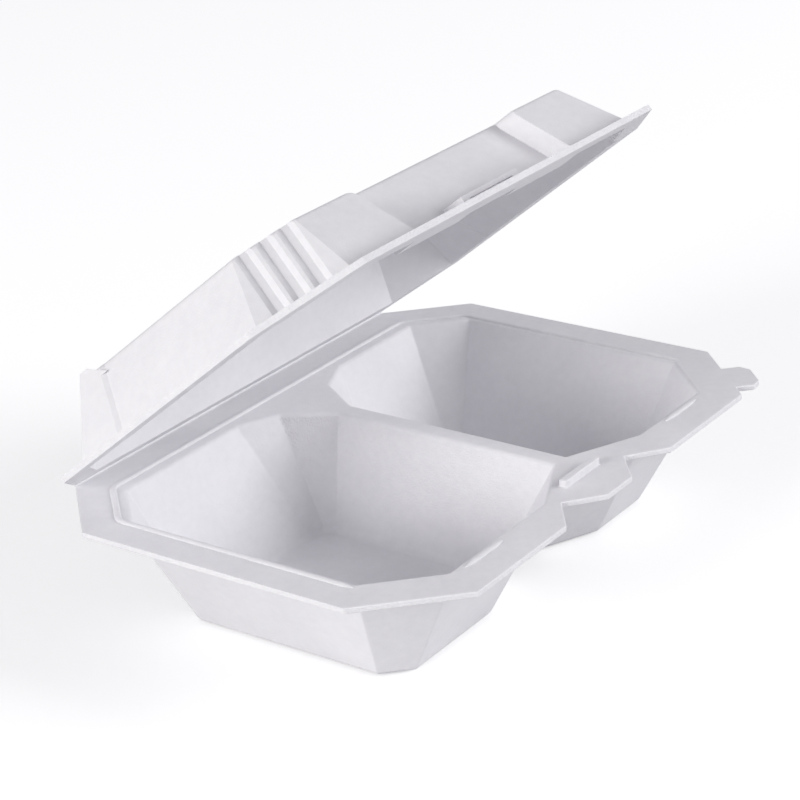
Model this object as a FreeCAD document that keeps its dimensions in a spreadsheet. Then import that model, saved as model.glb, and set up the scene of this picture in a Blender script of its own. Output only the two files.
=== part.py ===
# Foam clamshell container with two compartments and a hinged lid, shown with its lid part open.
# Millimetres. X runs along the hinge, the front is at -Y, the hinge at +Y, and the tray stands on z = 0.
# Tray and lid are two areas of one moulded sheet, parted here at the fold so that the lid can turn.

import FreeCAD, Part
import os
import re
import Sketcher

doc = FreeCAD.newDocument("clamshell")


# Driving sizes

SIZES = [
    ("length", 236, "outside length along the hinge"),
    ("depth", 163, "outside depth from the hinge to the front"),
    ("wall", 2.2, "thickness of the foam"),
    ("back_cut", 26, "leg of the cut corners beside the hinge"),
    ("front_cut", 30, "leg of the cut corners at the front"),
    ("tray_rise", 46, "height of the tray"),
    ("tray_rim", 15, "width of the tray's flat rim at the sides and the front"),
    ("tray_back_rim", 18, "width of that rim along the hinge"),
    ("tray_draft", 27, "lean of the tray's outer walls, degrees"),
    ("far_back_cut", 17, "leg of each compartment's outer corner beside the hinge"),
    ("divider", 8, "width of the divider's top"),
    ("divider_shift", 7.5, "distance of the divider from the middle"),
    ("divider_draft", 12, "lean of the divider's walls and their facets, degrees"),
    ("corner_draft", 20, "lean of the shallow facets beside the hinge, degrees"),
    ("shallow_wide", 16, "shallow facets between hinge side and divider, across it"),
    ("shallow_long", 7, "the same facets, along it"),
    ("steep_wide", 12, "steep facets at the divider's back end, across it"),
    ("steep_long", 18, "the same facets, along it"),
    ("front_facet_wide", 28, "corner facets at the divider's front end, across it"),
    ("front_facet_long", 13, "the same facets, along it"),
    ("floor_round", 4, "rounding between floor and walls, inside"),
    ("rim_round", 2, "rounding between rim and walls"),
    ("lid_rise", 26, "height of the lid"),
    ("lid_rim", 8, "width of the lid's flat rim"),
    ("lid_draft", 30, "lean of the lid's walls, degrees"),
    ("crown_round", 3, "rounding of the lid's top edges, outside"),
    ("recess_half", 48, "half the width of the panel set back in the lid's front"),
    ("recess_deep", 9.5, "how far that panel is set back"),
    ("flute", 6.2, "width of each of the three flutes in the lid's front corners"),
    ("flute_deep", 2.2, "depth of those flutes"),
    ("ridge", 1.6, "width of the ridge between two flutes"),
    ("post_from", 54, "distance from the hinge where the lid's back corners step out"),
    ("post_step", 1.2, "how far they step out"),
    ("post_ramp", 1.6, "length over which they step out"),
    ("lug_rise", 2.4, "height of the ridges on the lid's back corners"),
    ("lug_foot", 12, "width of those ridges at their foot"),
    ("lug_crest", 3, "width of those ridges at their crest"),
    ("hood_half", 17, "half the width of the hood over the closure slot"),
    ("hood_out", 6, "how far the hood stands out of the set-back panel"),
    ("hood_rise", 5.8, "height of the hood"),
    ("slot_half", 13, "half the width of the closure slot"),
    ("slot_tall", 2, "height of the closure slot"),
    ("tongue_tip", 8, "half the width of the tray's tongue at its tip"),
    ("tongue_root", 21, "half the width of that tongue at its root"),
    ("notch_half", 35, "half the width over both notches beside the tongue"),
    ("notch_deep", 10.5, "depth of those notches"),
    ("nib_half", 11, "half the width of the upright nib on the tongue"),
    ("nib_inset", 14.5, "distance of the nib's outer face from the front edge"),
    ("nib_thick", 3, "thickness of the nib"),
    ("nib_rise", 2.8, "height of the nib"),
    ("tab_half", 9, "half the width of the lift tab on a front corner"),
    ("tab_out", 10, "how far the lift tab stands out"),
    ("tab_shift", 5, "distance of the tab from the middle of its cut corner"),
    ("gap", 0.3, "clearance between tray and lid"),
    ("open_angle", 39, "angle between tray and lid as shown, degrees"),
]

sheet = doc.addObject("Spreadsheet::Sheet", "sizes")
for row, (alias, value, meaning) in enumerate(SIZES, start=1):
    sheet.set(f"A{row}", meaning)
    sheet.set(f"B{row}", str(value))
    sheet.setAlias(f"B{row}", alias)

DERIVED = [
    ("half_length", "length / 2"),
    ("tray_skin", "wall / cos(tray_draft * 1deg)"),
    ("lid_skin", "wall / cos(lid_draft * 1deg)"),
    ("corner_loss", "2 - sqrt(2)"),
    ("shallow_edge", "sqrt(shallow_wide ^ 2 + shallow_long ^ 2)"),
    ("steep_edge", "sqrt(steep_wide ^ 2 + steep_long ^ 2)"),
    ("bend", "shallow_long * steep_wide - shallow_wide * steep_long"),
    ("bend_across", "(shallow_edge * steep_wide - shallow_wide * steep_edge) / bend"),
    ("bend_along", "(shallow_long * steep_edge - steep_long * shallow_edge) / bend"),
    ("shallow_rate", "(shallow_edge - shallow_wide) / shallow_long"),
    ("steep_rate", "(steep_edge - steep_long) / steep_wide"),
    ("hinge_y", "depth / 2"),
    ("hinge_z", "tray_rise + gap / 2"),
]
for row, (alias, formula) in enumerate(DERIVED, start=len(SIZES) + 1):
    sheet.set(f"A{row}", "worked out")
    sheet.set(f"B{row}", "=" + formula)
    sheet.setAlias(f"B{row}", alias)
doc.recompute()


# Small helpers for drawing

# How near two heights or places count as one, and how upright a face's normal is on a level face
SLACK = 0.01
LEVEL = 0.99

NAMES = {alias for alias, *rest in SIZES + DERIVED}


def bound(expression):
    """The expression with each size written as a cell of the sheet."""
    return re.sub("[a-z_]+", lambda word: "sizes." * (word[0] in NAMES) + word[0], expression)


def value_of(expression):
    found = sheet.evalExpression(bound(expression))
    return float(getattr(found, "Value", found))


def new_body(name):
    return doc.addObject("PartDesign::Body", name)


def outline(body, name, height, corners):
    """A closed sketch of straight lines at a height, with each corner's place bound to the sheet."""
    sketch = body.newObject("Sketcher::SketchObject", name)
    ground = [plane for plane in body.Origin.OriginFeatures if plane.Role == "XY_Plane"][0]
    sketch.AttachmentSupport = [(ground, "")]
    sketch.MapMode = "FlatFace"
    sketch.setExpression("AttachmentOffset.Base.z", bound(height))
    points = [FreeCAD.Vector(value_of(x), value_of(y), 0) for x, y in corners]
    count = len(points)
    for here in range(count):
        sketch.addGeometry(Part.LineSegment(points[here], points[(here + 1) % count]), False)
    for here in range(count):
        sketch.addConstraint(Sketcher.Constraint("Coincident", here, 2, (here + 1) % count, 1))
    for here, (x, y) in enumerate(corners):
        across = sketch.addConstraint(Sketcher.Constraint("DistanceX", -1, 1, here, 1, points[here].x))
        sketch.setExpression(f"Constraints[{across}]", bound(x))
        along = sketch.addConstraint(Sketcher.Constraint("DistanceY", -1, 1, here, 1, points[here].y))
        sketch.setExpression(f"Constraints[{along}]", bound(y))
    return sketch


def loft(body, name, lower, upper, cut=False):
    kind = "PartDesign::SubtractiveLoft" if cut else "PartDesign::AdditiveLoft"
    feature = body.newObject(kind, name)
    feature.Profile = lower
    feature.Sections = [upper]
    feature.Ruled = True
    return feature


def pad(body, name, sketch, height):
    feature = body.newObject("PartDesign::Pad", name)
    feature.Profile = sketch
    feature.setExpression("Length", bound(height))
    return feature


def leaning_pad(body, name, sketch, height, leans, down=False):
    """A pad whose walls lean inwards from its sketch; each lean comes with the choice of its walls."""
    feature = pad(body, name, sketch, height)
    feature.Reversed = down
    for lean, chosen in leans.items():
        doc.recompute()
        level = sketch.Placement.Base.z
        walls = []
        for number, face in enumerate(feature.Shape.Faces, start=1):
            middle = face.CenterOfMass
            if abs(face.normalAt(0, 0).z) > LEVEL:
                if abs(middle.z - level) < SLACK:
                    base = f"Face{number}"
            elif chosen(middle):
                walls.append(f"Face{number}")
        leaning = body.newObject("PartDesign::Draft", f"{name}_{lean}")
        leaning.Base = (feature, walls)
        leaning.NeutralPlane = (feature, [base])
        leaning.setExpression("Angle", bound(lean))
        leaning.Reversed = down
        feature = leaning
    return feature


def round_edges(body, name, base, radius, chosen):
    doc.recompute()
    names = [f"Edge{n}" for n, edge in enumerate(base.Shape.Edges, start=1) if chosen(edge)]
    feature = body.newObject("PartDesign::Fillet", name)
    feature.Base = (base, names)
    feature.setExpression("Radius", bound(radius))
    return feature


def at_height(z):
    """Chooses the edges that lie level at a height."""
    return lambda edge: all(abs(v.Z - z) < SLACK for v in edge.Vertexes)


def mirrored(corners):
    """The same corners on the other side of the middle, in running order."""
    return [(f"- ( {x} )", y) for x, y in reversed(corners)]


# Outlines

# The flat rim that tray and lid share. Distances from the hinge line count towards -Y.
RIM_LEFT = [
    ("- half_length + back_cut", "- gap / 2"),
    ("- half_length", "- back_cut"),
    ("- half_length", "- depth + front_cut"),
    ("- half_length + front_cut", "- depth"),
]

TONGUE = [
    ("- notch_half", "- depth"),
    ("- tongue_root", "- depth + notch_deep"),
    ("- tongue_tip", "- depth"),
]


def dome(inset, skin):
    """The lid's raised part in plan, drawn in from its foot; the skin is nought on the outside."""
    side = f"( half_length - lid_rim - ( {inset} ) )"
    back = f"( lid_rim + ( {inset} ) )"
    front = f"( depth - lid_rim - ( {inset} ) )"
    back_leg = f"( back_cut - ( lid_rim + ( {inset} ) ) * corner_loss )"
    front_leg = f"( front_cut - ( lid_rim + ( {inset} ) ) * corner_loss )"
    corners = [
        (f"- {side} - post_step + {back_leg}", f"- {back}"),
        (f"- {side} - post_step", f"- {back} - {back_leg}"),
        (f"- {side} - post_step", "- post_from + post_ramp"),
        (f"- {side}", "- post_from"),
        (f"- {side}", f"- {front} + {front_leg}"),
        (f"- {side} + {front_leg}", f"- {front}"),
        (f"- ( recess_half + {skin} )", f"- {front}"),
        (f"- ( recess_half + {skin} )", f"- {front} + recess_deep"),
    ]
    return corners + mirrored(corners)


# One flute from side to side: how far across, in flute widths, and whether that point is sunk.
FLUTE_MOUTH = 0.85
FLUTE_FLOOR = 0.2
FLUTE_POINTS = [(-FLUTE_MOUTH, False), (-FLUTE_FLOOR, True), (FLUTE_FLOOR, True), (FLUTE_MOUTH, False)]


def flute(inset, place, grow):
    """One flute across a front corner facet of the lid, wider and deeper by a skin in the cavity."""
    facet = f"( front_cut - ( lid_rim + ( {inset} ) ) * corner_loss )"
    middle_x = f"( - ( half_length - lid_rim - ( {inset} ) ) + {facet} / 2 )"
    middle_y = f"( - ( depth - lid_rim - ( {inset} ) ) + {facet} / 2 )"
    corners = []
    for share, sunk in FLUTE_POINTS:
        side = "-" if share < 0 else "+"
        reach = f"( {place} * ( ridge + flute ) + {share} * flute {side} {grow} / 2 )"
        inward = f"( flute_deep + {grow} )" if sunk else "( - wall )"
        x = f"{middle_x} + ( {reach} + {inward} ) / sqrt(2)"
        y = f"{middle_y} - ( {reach} - {inward} ) / sqrt(2)"
        corners.append((x, y))
    return corners


def lug(inset, width):
    """The ridge along a cut back corner of the lid's top, between the corner and a line beside it."""
    side = f"( half_length - lid_rim - ( {inset} ) + post_step )"
    back = f"( lid_rim + ( {inset} ) )"
    leg = f"( back_cut - ( lid_rim + ( {inset} ) ) * corner_loss )"
    return [
        (f"- {side} + {leg}", f"- {back}"),
        (f"- {side}", f"- {back} - {leg}"),
        (f"- {side}", f"- {back} - {leg} - ( {width} ) * sqrt(2)"),
        (f"- {side} + {leg} + ( {width} ) * sqrt(2)", f"- {back}"),
    ]


def leg(wide, along, inset):
    """What is left of a facet's leg when the corner's three walls move in by one distance."""
    ratio = f"{wide} / {along}"
    return f"( {wide} - ( {inset} ) * ( 1 + {ratio} - sqrt(1 + ( {ratio} ) ^ 2) ) )"


def pan(inset, side):
    """One compartment in plan, drawn in by a distance from the rim's inner edge; side is -1 or 1."""
    away = f"( half_length - tray_rim - ( {inset} ) )"
    divider_edge = f"( divider / 2 + {side} * divider_shift )"
    by_divider = f"( {divider_edge} + ( {inset} ) )"
    back = f"- ( tray_back_rim + ( {inset} ) )"
    front = f"- ( depth - tray_rim - ( {inset} ) )"
    away_back = f"( far_back_cut - ( {inset} ) * corner_loss )"
    away_front = f"( front_cut - ( tray_rim + ( {inset} ) ) * corner_loss )"
    shallow_start = f"{divider_edge} + steep_wide + shallow_wide + ( {inset} ) * shallow_rate"
    bend_x = f"{divider_edge} + steep_wide + ( {inset} ) * bend_across"
    bend_y = f"- tray_back_rim - shallow_long - ( {inset} ) * bend_along"
    steep_end = f"- tray_back_rim - shallow_long - steep_long - ( {inset} ) * steep_rate"
    corners = [
        (shallow_start, back),
        (f"{away} - {away_back}", back),
        (away, f"{back} - {away_back}"),
        (away, f"{front} + {away_front}"),
        (f"{away} - {away_front}", front),
        (f"{by_divider} + {leg('front_facet_wide', 'front_facet_long', inset)}", front),
        (by_divider, f"{front} + {leg('front_facet_long', 'front_facet_wide', inset)}"),
        (by_divider, steep_end),
        (bend_x, bend_y),
    ]
    return [(f"{side} * ( {x} )", f"hinge_y + {y}") for x, y in corners]


def box_outline(half, back, front):
    return [
        (f"- {half}", back),
        (f"- {half}", front),
        (half, front),
        (half, back),
    ]


# Tray

SIDES = {"left": -1, "right": 1}

tray_form = new_body("tray_form")
rim_left = RIM_LEFT + TONGUE
rim_plan = [(x, f"hinge_y + {y}") for x, y in rim_left + mirrored(rim_left)]
plan = outline(tray_form, "tray_rim_plan", "tray_rise - wall", rim_plan)
pad(tray_form, "tray_rim_plate", plan, "wall")

# a lift tab that stands out of the cut corner at the front right, rounded off at its end
TAB_ROOT = "- 1.5 * wall"
TAB_SHOULDER = "tab_out * 0.7"
TAB_SHAPE = [
    ("-1", TAB_ROOT),
    ("-1", TAB_SHOULDER),
    ("-0.6", "tab_out"),
    ("0.6", "tab_out"),
    ("1", TAB_SHOULDER),
    ("1", TAB_ROOT),
]
corner_x = "( half_length - front_cut / 2 - tab_shift / sqrt(2) )"
corner_y = "( hinge_y - depth + front_cut / 2 - tab_shift / sqrt(2) )"
tab_corners = []
for across, out in TAB_SHAPE:
    x = f"{corner_x} + ( ( {out} ) + ( {across} ) * tab_half ) / sqrt(2)"
    y = f"{corner_y} - ( ( {out} ) - ( {across} ) * tab_half ) / sqrt(2)"
    tab_corners.append((x, y))
plan = outline(tray_form, "lift_tab_plan", "tray_rise - wall", tab_corners)
pad(tray_form, "lift_tab", plan, "wall")

# the upright nib that goes through the lid's closure slot
nib_front = "hinge_y - depth + nib_inset"
nib_corners = box_outline("nib_half", f"{nib_front} + nib_thick", nib_front)
plan = outline(tray_form, "nib_plan", "tray_rise - wall", nib_corners)
pad(tray_form, "closure_nib", plan, "wall + nib_rise")


def near_divider(middle, reach):
    """Whether a wall's middle lies within a reach of the divider and not at the front."""
    return abs(middle.x - value_of("divider_shift")) < value_of(reach) and middle.y > value_of("- depth / 4")


def steep(middle):
    """The divider's own walls and the steep facets at its back end."""
    return near_divider(middle, "divider / 2 + steep_wide")


def shallow(middle):
    return near_divider(middle, "divider / 2 + steep_wide + shallow_wide") and not steep(middle)


def outer(middle):
    return not steep(middle) and not shallow(middle)


def every(middle):
    return True


# All walls take the divider's lean first and the others theirs after it, so no facet vanishes on the way
tray_leans = {"divider_draft": every, "corner_draft": shallow, "tray_draft": outer}
outer_pans = []
pan_hollows = []
for name, side in SIDES.items():
    shell = new_body(f"{name}_pan")
    plan = outline(shell, f"{name}_pan_plan", "tray_rise", pan("- tray_skin", side))
    block = leaning_pad(shell, f"{name}_pan_block", plan, "tray_rise", tray_leans, down=True)
    round_edges(shell, f"{name}_foot_round", block, "floor_round + wall / 2", at_height(0))
    outer_pans.append(shell)
    hollow = new_body(f"{name}_hollow")
    plan = outline(hollow, f"{name}_hollow_plan", "tray_rise", pan("0", side))
    block = leaning_pad(hollow, f"{name}_hollow_block", plan, "tray_rise - wall", tray_leans, down=True)
    round_edges(hollow, f"{name}_floor_round", block, "floor_round", at_height(value_of("wall")))
    pan_hollows.append(hollow)
doc.recompute()

tray_outside = doc.addObject("Part::MultiFuse", "tray_outside")
tray_outside.Shapes = [tray_form, *outer_pans]
tray_inside = doc.addObject("Part::MultiFuse", "tray_inside")
tray_inside.Shapes = pan_hollows
tray_cut = doc.addObject("Part::Cut", "tray_cut")
tray_cut.Base = tray_outside
tray_cut.Tool = tray_inside
doc.recompute()

inner_half = value_of("half_length - tray_rim") + SLACK
inner_back = value_of("hinge_y - tray_back_rim") + SLACK
inner_front = value_of("hinge_y - depth + tray_rim") - SLACK
nib_half = value_of("nib_half") + SLACK
nib_back = value_of(f"{nib_front} + nib_thick") + SLACK
rim_edge = at_height(value_of("tray_rise"))


def around_pans(edge):
    """The edges where the rim turns down into the compartments."""
    if not rim_edge(edge):
        return False
    box = edge.BoundBox
    if max(abs(box.XMin), abs(box.XMax)) > inner_half or box.YMin < inner_front or box.YMax > inner_back:
        return False
    return box.YMax > nib_back or max(abs(box.XMin), abs(box.XMax)) > nib_half


base_tray = doc.addObject("Part::Fillet", "base_tray")
base_tray.Base = tray_cut
rim_round = value_of("rim_round")
chosen = [n for n, edge in enumerate(tray_cut.Shape.Edges, start=1) if around_pans(edge)]
base_tray.Edges = [(n, rim_round, rim_round) for n in chosen]
base_tray.Label = "base_tray"

# Lid, drawn closed about the hinge line and then turned open

foot_z = "gap / 2"
lid_form = new_body("lid_form")
lid_cavity = new_body("lid_cavity")


def beside_panel(middle):
    """Whether a wall is one of the upright ones at the sides of the set-back panel."""
    return abs(abs(middle.x) - value_of("recess_half")) < value_of("wall") + SLACK


dome_leans = {"lid_draft": lambda middle: not beside_panel(middle)}
plan = outline(lid_form, "dome_plan", foot_z, dome("0", "0"))
block = leaning_pad(lid_form, "dome_outside", plan, "lid_rise", dome_leans)
round_edges(lid_form, "crown_rounding", block, "crown_round", at_height(value_of("gap / 2 + lid_rise")))
plan = outline(lid_cavity, "hollow_plan", foot_z, dome("lid_skin", "wall"))
leaning_pad(lid_cavity, "dome_inside", plan, "lid_rise - wall", dome_leans)
plan = outline(lid_form, "lid_rim_plan", foot_z, RIM_LEFT + mirrored(RIM_LEFT))
pad(lid_form, "lid_rim_plate", plan, "wall")

# flutes in the front corners, and the same with a skin round them in the cavity
FLUTE_PLACES = (-1, 0, 1)
slope = "tan(lid_draft * 1deg)"
flute_top = "lid_rise + wall"
for body, grow, start in ((lid_form, "0", "wall"), (lid_cavity, "wall", "0")):
    for number, place in enumerate(FLUTE_PLACES):
        for side in SIDES:
            low = flute(f"{start} * {slope}", place, grow)
            high = flute(f"( {flute_top} ) * {slope}", place, grow)
            if side == "right":
                low, high = mirrored(low), mirrored(high)
            label = f"{body.Name}_{side}_flute_{number}"
            lower = outline(body, label + "_foot", f"{foot_z} + {start}", low)
            upper = outline(body, label + "_head", f"{foot_z} + {flute_top}", high)
            loft(body, label, lower, upper, cut=True)

# ridges on the back corners, solid in the form and hollow in the cavity
for body, skin, top in ((lid_form, "0", "lid_rise"), (lid_cavity, "lid_skin", "lid_rise - wall")):
    base = f"{top} - crown_round"
    crest = f"{top} + lug_rise"
    for side in SIDES:
        low = lug(f"{skin} + ( {base} ) * {slope}", f"lug_foot - {skin}")
        high = lug(f"{skin} + ( {crest} ) * {slope}", "lug_crest")
        if side == "right":
            low, high = mirrored(low), mirrored(high)
        label = f"{body.Name}_{side}_lug"
        lower = outline(body, label + "_foot", f"{foot_z} + {base}", low)
        upper = outline(body, label + "_head", f"{foot_z} + {crest}", high)
        loft(body, label, lower, upper)

# the hood over the closure slot, its hollow and the slot
panel_foot = "depth - lid_rim - recess_deep"
hood_front = f"- ( {panel_foot} + hood_out )"
hood_back = f"- ( {panel_foot} - hood_rise )"
plan = outline(lid_form, "hood_plan", foot_z, box_outline("hood_half", hood_back, hood_front))
pad(lid_form, "hood", plan, "hood_rise")
hollow_corners = box_outline("( hood_half - wall )", f"{hood_back} + 2 * wall", f"{hood_front} + wall")
plan = outline(lid_cavity, "hood_hollow_plan", foot_z, hollow_corners)
pad(lid_cavity, "hood_hollow", plan, "hood_rise - wall")
slot_corners = box_outline("slot_half", f"{hood_front} + 2 * wall", f"{hood_front} - wall / 2")
plan = outline(lid_cavity, "slot_plan", f"{foot_z} + wall", slot_corners)
pad(lid_cavity, "closure_slot", plan, "slot_tall")

# the whole lid is turned open about the hinge line
turn = "create(<<rotation>>; create(<<vector>>; 1; 0; 0); - open_angle * 1deg)"
hinge_line = "create(<<vector>>; 0; hinge_y; hinge_z)"
for body in (lid_form, lid_cavity):
    body.setExpression("Placement", bound(f"create(<<placement>>; {hinge_line}; {turn})"))
lid = doc.addObject("Part::Cut", "lid")
lid.Base = lid_form
lid.Tool = lid_cavity
lid.Label = "lid"
doc.recompute()

# Every feature has to have worked before anything is written

for item in doc.Objects:
    if "Invalid" in item.State or "Error" in item.State:
        raise RuntimeError(f"{item.Name} failed: {item.State}")

PIECES = [base_tray, lid]
os.makedirs("parts", exist_ok=True)
for piece in PIECES:
    shape = piece.Shape
    if shape.isNull() or not shape.isValid():
        raise RuntimeError(f"{piece.Label} has no sound shape")
    shape.exportStep(f"parts/{piece.Label}.step")
    print(piece.Label, "solids", len(shape.Solids), "volume", round(shape.Volume), shape.BoundBox)
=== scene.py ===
import math
import bmesh
import bpy
from mathutils import Matrix, Vector


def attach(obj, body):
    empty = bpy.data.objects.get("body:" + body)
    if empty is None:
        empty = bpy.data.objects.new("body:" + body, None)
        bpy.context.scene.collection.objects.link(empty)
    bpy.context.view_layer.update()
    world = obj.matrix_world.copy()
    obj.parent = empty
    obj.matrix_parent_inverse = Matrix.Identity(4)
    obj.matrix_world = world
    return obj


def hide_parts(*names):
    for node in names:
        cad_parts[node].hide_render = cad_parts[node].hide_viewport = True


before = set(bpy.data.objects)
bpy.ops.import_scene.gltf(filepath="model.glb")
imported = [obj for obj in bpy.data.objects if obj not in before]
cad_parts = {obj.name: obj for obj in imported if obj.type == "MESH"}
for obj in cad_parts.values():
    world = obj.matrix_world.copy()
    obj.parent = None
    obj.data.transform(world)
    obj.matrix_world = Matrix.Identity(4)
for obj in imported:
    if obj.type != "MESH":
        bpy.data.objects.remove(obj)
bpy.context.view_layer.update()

scene = bpy.context.scene

# Sizes of the container, in metres

RIM_HALF = 0.118
RIM_BACK = 0.0815
RIM_FRONT = -RIM_BACK
BACK_CUT = 0.026
FRONT_CUT = 0.030
WALL = 0.0022
TRAY_RISE = 0.046
HINGE = Vector((0, RIM_BACK, 0.04615))
OPEN_ANGLE = math.radians(39)

# Softened edges of the moulded sheet, and the upright strip where its outline was cut

EDGE_SOFTNESS = 0.0005
EDGE_SEGMENTS = 3
EDGE_FROM = math.radians(16)
NEARLY_UPRIGHT = 0.3
CUT_FROM = TRAY_RISE - 1.1 * WALL
CUT_TO = TRAY_RISE + 1.3 * WALL
FLAT_WITHIN = math.radians(0.8)
SAME_PLACE = 1e-6

# The pressed fold, as a slim bead along the hinge line

FOLD_HALF = 0.0922
FOLD_RADIUS = 0.0006
FOLD_RUN_OUT = 0.001
FOLD_SWELLING = 0.2

# The low bead on the tray's rim: how far in it lies, its section, its openings and its bends

BEAD_INSET = 0.0126
BEAD_HALF = 0.0012
BEAD_RISE = 0.0008
BEAD_GAP = 0.054
BEAD_STUB = 0.022
BEAD_BEND = 0.005
BEAD_RUN_OUT = 0.004
BEAD_END_SIZE = 0.3
BEAD_STEP = 0.002
BEAD_SIDES = 16
BEND_STEPS = 6
LUMP_SCALE = 120.0

# Foam: its shader, colour and roughness where the mottle is low and high, cells and relief

FOAM_SHADER = {
    "IOR": 1.45,
    "Specular IOR Level": 0.35,
    "Subsurface Weight": 0.25,
    "Subsurface Radius": (1.0, 0.95, 0.9),
    "Subsurface Scale": 0.0015,
}
FOAM_SHADE = (0.775, 0.77, 0.80, 1)
FOAM_LIGHT = (0.83, 0.825, 0.85, 1)
SMOOTHEST = 0.42
ROUGHEST = 0.6
MOTTLE_LOW = 0.3
MOTTLE_HIGH = 0.7
TRAY_CELLS = 1500.0
TRAY_RELIEF = 0.16
LID_CELLS = 1400.0
LID_RELIEF = 0.18
FOLD_CELLS = 2200.0
FOLD_RELIEF = 0.3
WAVE_SCALE = 45.0
GRAIN_SHARE = 0.22
CELL_SHARE = 0.5
MOTTLE_SHARE = 0.5
SAG_DEPTH = 0.0012
SAG_STRENGTH = 0.35
PIT_DEPTH = 0.0004
CUT_EDGE_RELIEF = 0.8

# Studio

WHITE = (1, 1, 1, 1)
FLOOR_SIZE = 9.0
FLOOR_DROP = 0.0002
FLOOR_SHADER = {
    "Base Color": (0.74, 0.74, 0.75, 1),
    "Roughness": 0.9,
    "Specular IOR Level": 0.0,
    "Emission Color": WHITE,
}
FLOOR_LIFT = 0.45
SOFT_LIGHT_COLOUR = (0.965, 0.96, 1.0, 1)
SOFT_LIGHT = 0.40
LAMPS_AIM = Vector((0, 0, 0.05))
KEY_LEFT = {
    "direction": (-0.94, 0.18, 0.25),
    "distance": 3.2,
    "size": 1.6,
    "power": 67.0,
    "colour": (1.0, 0.985, 0.96),
}
KEY_RIGHT = {
    "direction": (0.45, -0.85, 0.42),
    "distance": 3.4,
    "size": 2.0,
    "power": 72.0,
    "colour": (1.0, 1.0, 1.0),
}

# Camera at the photograph's viewing angle

CAMERA_PLACE = Vector((-0.6745, -0.4769, 0.4180))
CAMERA_BACK = Vector((-0.75422, -0.54073, 0.37250)).normalized()
CAMERA_ROLL = math.radians(-2.78)
CAMERA_SENSOR = 36
CAMERA_NEAR = 0.01
PHOTO_LENS = 136.9
FRAMING = 0.84
SHIFT_Y = -0.085


# Foam, as one surface that tray, lid, fold and rim bead share


def value_socket(group, name, in_out, kind, default=None):
    socket = group.interface.new_socket(name=name, in_out=in_out, socket_type=kind)
    if default is not None:
        socket.default_value = default


def new_node(tree, kind, place, **settings):
    node = tree.nodes.new(kind)
    node.location = place
    for key, value in settings.items():
        setattr(node, key, value)
    return node


def foam_cells_group():
    """Closed cells under a pressed skin: a mottle and a normal, coarser where the sheet was cut."""
    group = bpy.data.node_groups.new("foam_cells", "ShaderNodeTree")
    value_socket(group, "Coordinates", "INPUT", "NodeSocketVector")
    value_socket(group, "Cell Scale", "INPUT", "NodeSocketFloat")
    value_socket(group, "Wave Scale", "INPUT", "NodeSocketFloat", WAVE_SCALE)
    value_socket(group, "Relief", "INPUT", "NodeSocketFloat")
    value_socket(group, "Cut Edge", "INPUT", "NodeSocketFloat")
    value_socket(group, "Mottle", "OUTPUT", "NodeSocketFloat")
    value_socket(group, "Normal", "OUTPUT", "NodeSocketVector")
    start = new_node(group, "NodeGroupInput", (-900, 0))
    end = new_node(group, "NodeGroupOutput", (900, 0))
    cells = new_node(group, "ShaderNodeTexVoronoi", (-650, 200), feature="F1")
    grain = new_node(group, "ShaderNodeTexNoise", (-650, -60))
    grain.inputs["Detail"].default_value = 3.0
    waves = new_node(group, "ShaderNodeTexNoise", (-650, -320))
    waves.inputs["Detail"].default_value = 1.0
    grain_scale = new_node(group, "ShaderNodeMath", (-780, -120), operation="MULTIPLY")
    grain_scale.inputs[1].default_value = GRAIN_SHARE
    link = group.links.new
    for texture in (cells, grain, waves):
        link(start.outputs["Coordinates"], texture.inputs["Vector"])
    link(start.outputs["Cell Scale"], cells.inputs["Scale"])
    link(start.outputs["Cell Scale"], grain_scale.inputs[0])
    link(grain_scale.outputs[0], grain.inputs["Scale"])
    link(start.outputs["Wave Scale"], waves.inputs["Scale"])
    raised = new_node(group, "ShaderNodeMath", (-350, 160), operation="MULTIPLY_ADD")
    raised.inputs[1].default_value = CELL_SHARE
    link(cells.outputs["Distance"], raised.inputs[0])
    link(grain.outputs["Fac"], raised.inputs[2])
    strength = new_node(group, "ShaderNodeMath", (-350, 360), operation="MULTIPLY_ADD")
    strength.inputs[1].default_value = CUT_EDGE_RELIEF
    link(start.outputs["Cut Edge"], strength.inputs[0])
    link(start.outputs["Relief"], strength.inputs[2])
    sagging = new_node(group, "ShaderNodeBump", (0, -200))
    sagging.inputs["Strength"].default_value = SAG_STRENGTH
    sagging.inputs["Distance"].default_value = SAG_DEPTH
    link(waves.outputs["Fac"], sagging.inputs["Height"])
    pitted = new_node(group, "ShaderNodeBump", (250, 0))
    pitted.inputs["Distance"].default_value = PIT_DEPTH
    link(strength.outputs[0], pitted.inputs["Strength"])
    link(raised.outputs[0], pitted.inputs["Height"])
    link(sagging.outputs["Normal"], pitted.inputs["Normal"])
    link(pitted.outputs["Normal"], end.inputs["Normal"])
    mottle = new_node(group, "ShaderNodeMath", (250, 260), operation="MULTIPLY_ADD")
    mottle.inputs[1].default_value = MOTTLE_SHARE
    half_wave = new_node(group, "ShaderNodeMath", (0, 260), operation="MULTIPLY")
    half_wave.inputs[1].default_value = MOTTLE_SHARE
    link(waves.outputs["Fac"], half_wave.inputs[0])
    link(grain.outputs["Fac"], mottle.inputs[0])
    link(half_wave.outputs[0], mottle.inputs[2])
    link(mottle.outputs[0], end.inputs["Mottle"])
    return group


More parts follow.
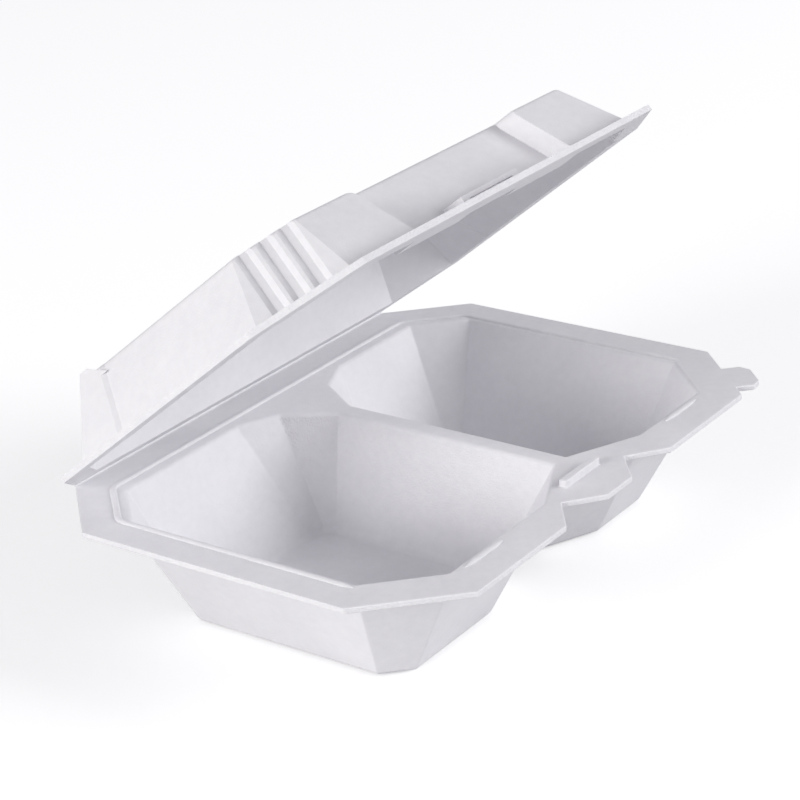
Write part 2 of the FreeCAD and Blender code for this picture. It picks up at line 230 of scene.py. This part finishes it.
def foam_material(name, cells, cell_scale, relief):
    """White foam with a satin skin, a little light passing into it and rougher cut edges."""
    material = bpy.data.materials.new(name)
    material.use_nodes = True
    tree = material.node_tree
    link = tree.links.new
    shader = tree.nodes["Principled BSDF"]
    for socket, value in FOAM_SHADER.items():
        shader.inputs[socket].default_value = value
    place = new_node(tree, "ShaderNodeTexCoord", (-900, 0))
    edge = new_node(tree, "ShaderNodeAttribute", (-900, -300), attribute_name="cut_edge")
    surface = new_node(tree, "ShaderNodeGroup", (-600, 0), node_tree=cells)
    surface.inputs["Cell Scale"].default_value = cell_scale
    surface.inputs["Relief"].default_value = relief
    link(place.outputs["Object"], surface.inputs["Coordinates"])
    link(edge.outputs["Fac"], surface.inputs["Cut Edge"])
    tint = new_node(tree, "ShaderNodeValToRGB", (-300, 200))
    tint.color_ramp.elements[0].position = MOTTLE_LOW
    tint.color_ramp.elements[0].color = FOAM_SHADE
    tint.color_ramp.elements[1].position = MOTTLE_HIGH
    tint.color_ramp.elements[1].color = FOAM_LIGHT
    link(surface.outputs["Mottle"], tint.inputs["Fac"])
    link(tint.outputs["Color"], shader.inputs["Base Color"])
    rough = new_node(tree, "ShaderNodeMapRange", (-300, -120))
    rough.inputs["From Min"].default_value = MOTTLE_LOW
    rough.inputs["From Max"].default_value = MOTTLE_HIGH
    rough.inputs["To Min"].default_value = SMOOTHEST
    rough.inputs["To Max"].default_value = ROUGHEST
    link(surface.outputs["Mottle"], rough.inputs["Value"])
    link(rough.outputs["Result"], shader.inputs["Roughness"])
    link(surface.outputs["Normal"], shader.inputs["Normal"])
    return material


foam_cells = foam_cells_group()
tray_foam_look = foam_material("tray_foam_skin", foam_cells, TRAY_CELLS, TRAY_RELIEF)
lid_foam_look = foam_material("lid_foam_skin", foam_cells, LID_CELLS, LID_RELIEF)
fold_foam_look = foam_material("pressed_fold", foam_cells, FOLD_CELLS, FOLD_RELIEF)


# The moulded sheet: the solids' own shapes with their edges softened as foam leaves a mould


def mark_cut_edges(mesh, turned_back):
    """Marks the upright faces round the rim's outline, where the sheet was cut out."""
    mask = mesh.attributes.new("cut_edge", "FLOAT", "POINT")
    values = [0.0] * len(mesh.vertices)
    for face in mesh.polygons:
        normal = (turned_back.to_3x3() @ face.normal).normalized()
        height = (turned_back @ face.center).z
        if abs(normal.z) < NEARLY_UPRIGHT and CUT_FROM < height < CUT_TO:
            for number in face.vertices:
                values[number] = 1.0
    mask.data.foreach_set("value", values)


def finished_piece(drawn, name):
    """A piece whose plain mesh is what an object's modifiers make; the object itself goes."""
    bpy.context.view_layer.update()
    evaluated = drawn.evaluated_get(bpy.context.evaluated_depsgraph_get())
    finished = bpy.data.meshes.new_from_object(evaluated)
    bpy.data.objects.remove(drawn)
    finished.name = name
    piece = bpy.data.objects.new(name, finished)
    scene.collection.objects.link(piece)
    return piece


def softened(node, name, turned_back):
    """A solid's mesh with flat faces joined up and edges rounded off, held within its first bounds."""
    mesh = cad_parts[node].data.copy()
    mesh.materials.clear()
    work = bmesh.new()
    work.from_mesh(mesh)
    bmesh.ops.remove_doubles(work, verts=work.verts, dist=SAME_PLACE)
    bmesh.ops.dissolve_limit(work, angle_limit=FLAT_WITHIN, verts=work.verts, edges=work.edges)
    for face in work.faces:
        face.smooth = True
    work.to_mesh(mesh)
    work.free()
    for attribute in ("custom_normal", "UVMap"):
        if attribute in mesh.attributes:
            mesh.attributes.remove(mesh.attributes[attribute])
    shape = bpy.data.objects.new(name + "_before", mesh)
    scene.collection.objects.link(shape)
    bevel = shape.modifiers.new("soft_edges", "BEVEL")
    bevel.width = EDGE_SOFTNESS
    bevel.segments = EDGE_SEGMENTS
    bevel.limit_method = "ANGLE"
    bevel.angle_limit = EDGE_FROM
    bevel.harden_normals = True
    bevel.use_clamp_overlap = True
    low, high = [[limit(v.co[axis] for v in mesh.vertices) for axis in range(3)] for limit in (min, max)]
    piece = finished_piece(shape, name)
    for vertex in piece.data.vertices:
        vertex.co = [min(max(vertex.co[axis], low[axis]), high[axis]) for axis in range(3)]
    mark_cut_edges(piece.data, turned_back)
    return piece


to_hinge = Matrix.Translation(HINGE)
from_hinge = Matrix.Translation(-HINGE)
closed_again = to_hinge @ Matrix.Rotation(OPEN_ANGLE, 4, "X") @ from_hinge
tray_piece = softened("base_tray", "tray_foam", Matrix.Identity(4))
tray_piece.data.materials.append(tray_foam_look)
lid_piece = softened("lid", "lid_foam", closed_again)
lid_piece.data.materials.append(lid_foam_look)


def bead_tree():
    """A rounded bead along lines: bends drawn as arcs, ends that run out and a slight swelling."""
    tree = bpy.data.node_groups.new("bead_along_lines", "GeometryNodeTree")
    value_socket(tree, "Lines", "INPUT", "NodeSocketGeometry")
    for name in ("Half Width", "Rise", "Bend Radius", "Step", "Run Out", "Swelling"):
        value_socket(tree, name, "INPUT", "NodeSocketFloat")
    value_socket(tree, "Look", "INPUT", "NodeSocketMaterial")
    value_socket(tree, "Bead", "OUTPUT", "NodeSocketGeometry")
    link = tree.links.new
    start = new_node(tree, "NodeGroupInput", (-1200, 0))
    line = new_node(tree, "GeometryNodeMeshToCurve", (-1000, 100))
    bends = new_node(tree, "GeometryNodeFilletCurve", (-800, 100), mode="POLY")
    bends.inputs["Count"].default_value = BEND_STEPS
    even = new_node(tree, "GeometryNodeResampleCurve", (-600, 100), mode="LENGTH")
    upright = new_node(tree, "GeometryNodeSetCurveNormal", (-400, 100), mode="Z_UP")
    link(start.outputs["Lines"], line.inputs["Mesh"])
    link(line.outputs["Curve"], bends.inputs["Curve"])
    link(start.outputs["Bend Radius"], bends.inputs["Radius"])
    link(bends.outputs["Curve"], even.inputs["Curve"])
    link(start.outputs["Step"], even.inputs["Length"])
    link(even.outputs["Curve"], upright.inputs["Curve"])
    along = new_node(tree, "GeometryNodeSplineParameter", (-1000, -200))
    whole = new_node(tree, "GeometryNodeSplineLength", (-1000, -350))
    left_over = new_node(tree, "ShaderNodeMath", (-800, -300), operation="SUBTRACT")
    from_end = new_node(tree, "ShaderNodeMath", (-650, -250), operation="MINIMUM")
    run_out = new_node(tree, "ShaderNodeMapRange", (-500, -250))
    run_out.inputs["To Min"].default_value = BEAD_END_SIZE
    link(whole.outputs["Length"], left_over.inputs[0])
    link(along.outputs["Length"], left_over.inputs[1])
    link(along.outputs["Length"], from_end.inputs[0])
    link(left_over.outputs[0], from_end.inputs[1])
    link(from_end.outputs[0], run_out.inputs["Value"])
    link(start.outputs["Run Out"], run_out.inputs["From Max"])
    lumps = new_node(tree, "ShaderNodeTexNoise", (-800, -500))
    lumps.inputs["Scale"].default_value = LUMP_SCALE
    swell = new_node(tree, "ShaderNodeMath", (-500, -500), operation="MULTIPLY_ADD")
    swell.inputs[2].default_value = 1.0
    size = new_node(tree, "ShaderNodeMath", (-350, -350), operation="MULTIPLY")
    link(lumps.outputs["Fac"], swell.inputs[0])
    link(start.outputs["Swelling"], swell.inputs[1])
    link(run_out.outputs["Result"], size.inputs[0])
    link(swell.outputs[0], size.inputs[1])
    ring = new_node(tree, "GeometryNodeCurvePrimitiveCircle", (-400, -700), mode="RADIUS")
    ring.inputs["Resolution"].default_value = BEAD_SIDES
    ring.inputs["Radius"].default_value = 1.0
    flatness = new_node(tree, "ShaderNodeCombineXYZ", (-400, -850))
    section = new_node(tree, "GeometryNodeTransform", (-200, -700))
    link(start.outputs["Half Width"], flatness.inputs["X"])
    link(start.outputs["Rise"], flatness.inputs["Y"])
    link(ring.outputs["Curve"], section.inputs["Geometry"])
    link(flatness.outputs[0], section.inputs["Scale"])
    swept = new_node(tree, "GeometryNodeCurveToMesh", (0, 100))
    swept.inputs["Fill Caps"].default_value = True
    link(size.outputs[0], swept.inputs["Scale"])
    link(upright.outputs["Curve"], swept.inputs["Curve"])
    link(section.outputs["Geometry"], swept.inputs["Profile Curve"])
    smooth = new_node(tree, "GeometryNodeSetShadeSmooth", (200, 100))
    real = new_node(tree, "GeometryNodeRealizeInstances", (400, 100))
    look = new_node(tree, "GeometryNodeSetMaterial", (600, 100))
    end = new_node(tree, "NodeGroupOutput", (800, 100))
    link(swept.outputs["Mesh"], smooth.inputs["Geometry"])
    link(smooth.outputs["Geometry"], real.inputs["Geometry"])
    link(real.outputs["Geometry"], look.inputs["Geometry"])
    link(start.outputs["Look"], look.inputs["Material"])
    link(look.outputs["Geometry"], end.inputs["Bead"])
    return tree


def bead_piece(name, tree, lines, settings):
    """A bead as a plain mesh, swept by the tree along lines given by their corners."""
    corners = [corner for line in lines for corner in line]
    edges = []
    count = 0
    for line in lines:
        edges += [(count + step, count + step + 1) for step in range(len(line) - 1)]
        count += len(line)
    mesh = bpy.data.meshes.new(name + "_lines")
    mesh.from_pydata(corners, edges, [])
    drawn = bpy.data.objects.new(name + "_lines", mesh)
    scene.collection.objects.link(drawn)
    modifier = drawn.modifiers.new("bead", "NODES")
    modifier.node_group = tree
    for item in tree.interface.items_tree:
        if item.name in settings:
            modifier[item.identifier] = settings[item.name]
    return finished_piece(drawn, name)


def rim_lines():
    """The rim bead's lines, open where the shut lid's front corners and panel come down."""
    cut_loss = BEAD_INSET * (2 - math.sqrt(2))
    side = RIM_HALF - BEAD_INSET
    back = RIM_BACK - BEAD_INSET
    front = RIM_FRONT + BEAD_INSET
    right = [
        (side, front + FRONT_CUT - cut_loss, TRAY_RISE),
        (side, back - BACK_CUT + cut_loss, TRAY_RISE),
        (side - BACK_CUT + cut_loss, back, TRAY_RISE),
    ]
    around_back = right + [(-x, y, z) for x, y, z in reversed(right)]
    front_right = [(BEAD_GAP, front, TRAY_RISE), (BEAD_GAP + BEAD_STUB, front, TRAY_RISE)]
    front_left = [(-x, y, z) for x, y, z in front_right]
    return [around_back, front_right, front_left]


rounded_bead = bead_tree()
fold_line = [(-FOLD_HALF, HINGE.y, HINGE.z), (FOLD_HALF, HINGE.y, HINGE.z)]
fold_settings = {
    "Half Width": FOLD_RADIUS,
    "Rise": FOLD_RADIUS,
    "Step": BEAD_STEP,
    "Run Out": FOLD_RUN_OUT,
    "Swelling": FOLD_SWELLING,
    "Look": fold_foam_look,
}
fold = bead_piece("hinge_fold", rounded_bead, [fold_line], fold_settings)
rim_settings = {
    "Half Width": BEAD_HALF,
    "Rise": BEAD_RISE,
    "Bend Radius": BEAD_BEND,
    "Step": BEAD_STEP,
    "Run Out": BEAD_RUN_OUT,
    "Look": tray_foam_look,
}
rim_bead = bead_piece("rim_bead", rounded_bead, rim_lines(), rim_settings)

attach(tray_piece, "tray")
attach(lid_piece, "cover")
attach(fold, "tray")
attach(rim_bead, "tray")
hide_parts("base_tray")
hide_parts("lid")


# Floor, light and camera


def floor_piece():
    """A plain pale floor that the camera sees a little lifted, so that it runs into the white behind."""
    half = FLOOR_SIZE / 2
    corners = [(-half, -half, 0), (half, -half, 0), (half, half, 0), (-half, half, 0)]
    mesh = bpy.data.meshes.new("floor")
    mesh.from_pydata(corners, [], [(0, 1, 2, 3)])
    look = bpy.data.materials.new("pale_floor")
    look.use_nodes = True
    tree = look.node_tree
    shader = tree.nodes["Principled BSDF"]
    for socket, value in FLOOR_SHADER.items():
        shader.inputs[socket].default_value = value
    seen = new_node(tree, "ShaderNodeLightPath", (-500, -300))
    lift = new_node(tree, "ShaderNodeMath", (-250, -300), operation="MULTIPLY")
    lift.inputs[1].default_value = FLOOR_LIFT
    tree.links.new(seen.outputs["Is Camera Ray"], lift.inputs[0])
    tree.links.new(lift.outputs[0], shader.inputs["Emission Strength"])
    mesh.materials.append(look)
    piece = bpy.data.objects.new("floor", mesh)
    piece.location.z = -FLOOR_DROP
    scene.collection.objects.link(piece)
    return piece


def studio_light():
    """Soft light from all round, with plain white where the camera looks past the floor."""
    world = bpy.data.worlds.new("studio")
    scene.world = world
    world.use_nodes = True
    tree = world.node_tree
    tree.nodes.clear()
    out = new_node(tree, "ShaderNodeOutputWorld", (600, 0))
    mix = new_node(tree, "ShaderNodeMixShader", (400, 0))
    seen = new_node(tree, "ShaderNodeLightPath", (0, 300))
    soft = new_node(tree, "ShaderNodeBackground", (100, 0))
    soft.inputs["Color"].default_value = SOFT_LIGHT_COLOUR
    soft.inputs["Strength"].default_value = SOFT_LIGHT
    white = new_node(tree, "ShaderNodeBackground", (100, -200))
    white.inputs["Color"].default_value = WHITE
    white.inputs["Strength"].default_value = 1.0
    tree.links.new(seen.outputs["Is Camera Ray"], mix.inputs["Fac"])
    tree.links.new(soft.outputs["Background"], mix.inputs[1])
    tree.links.new(white.outputs["Background"], mix.inputs[2])
    tree.links.new(mix.outputs["Shader"], out.inputs["Surface"])


def area_light(name, direction, distance, size, power, colour):
    """A soft round lamp that stands in a direction from the object and points at it."""
    data = bpy.data.lights.new(name, "AREA")
    data.shape = "DISK"
    data.size = size
    data.energy = power
    data.color = colour
    lamp = bpy.data.objects.new(name, data)
    towards = Vector(direction).normalized()
    lamp.location = LAMPS_AIM + towards * distance
    lamp.rotation_mode = "QUATERNION"
    lamp.rotation_quaternion = towards.to_track_quat("Z", "Y")
    scene.collection.objects.link(lamp)


def photo_camera():
    """The camera, from its place, the direction behind it and its roll."""
    level = Vector((0, 0, 1)).cross(CAMERA_BACK).normalized()
    upward = CAMERA_BACK.cross(level)
    across = level * math.cos(CAMERA_ROLL) + upward * math.sin(CAMERA_ROLL)
    above = upward * math.cos(CAMERA_ROLL) - level * math.sin(CAMERA_ROLL)
    data = bpy.data.cameras.new("camera")
    data.sensor_width = CAMERA_SENSOR
    data.lens = PHOTO_LENS * FRAMING
    data.shift_y = SHIFT_Y
    data.clip_start = CAMERA_NEAR
    camera = bpy.data.objects.new("camera", data)
    turned = Matrix((across, above, CAMERA_BACK)).transposed().to_4x4()
    camera.matrix_world = Matrix.Translation(CAMERA_PLACE) @ turned
    scene.collection.objects.link(camera)
    return camera


floor = floor_piece()
studio_light()
area_light("key_left", **KEY_LEFT)
area_light("key_right", **KEY_RIGHT)
scene.camera = photo_camera()
scene.view_settings.view_transform = "Standard"
